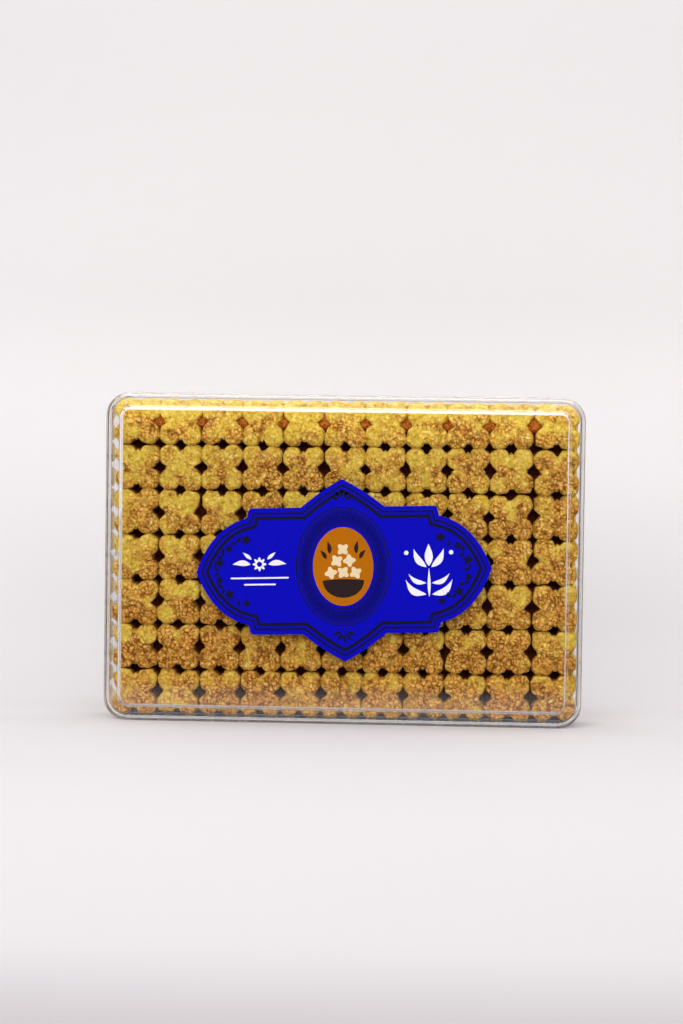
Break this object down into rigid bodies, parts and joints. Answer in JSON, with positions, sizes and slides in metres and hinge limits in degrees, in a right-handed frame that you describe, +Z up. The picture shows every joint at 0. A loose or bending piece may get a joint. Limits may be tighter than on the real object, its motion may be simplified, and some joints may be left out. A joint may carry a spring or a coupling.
{
  "type": "clear plastic box of chickpea cookies",
  "caption": "Shut clear plastic box, standing on its long edge, packed with rows of four-lobed crumbly chickpea cookies behind a lid with a raised panel and a pointed blue cartouche label.",
  "frame": {"origin": "middle of the footprint on the surface that the box stands on", "axes": "+X along the box to the right as seen from the front, +Y from the lid to the back, +Z up; the lid and the label face -Y"},
  "size_m": [0.2364, 0.042, 0.1626],
  "materials": {
    "tub_plastic": "clear, glossy, hard moulded plastic with a faint warm grey tint at its edges",
    "lid_plastic": "clear, glossy, hard moulded plastic",
    "cookie": "dry, matt, crumbly baked dough, yellow on the lobes and tan brown on the crumbed faces",
    "label": "smooth printed sticker, satin"
  },
  "bodies": {
    "root": {"tub": "tub_plastic", "lid": "lid_plastic", "cookies": "cookie", "label": "label"}
  },
  "joints": []
}
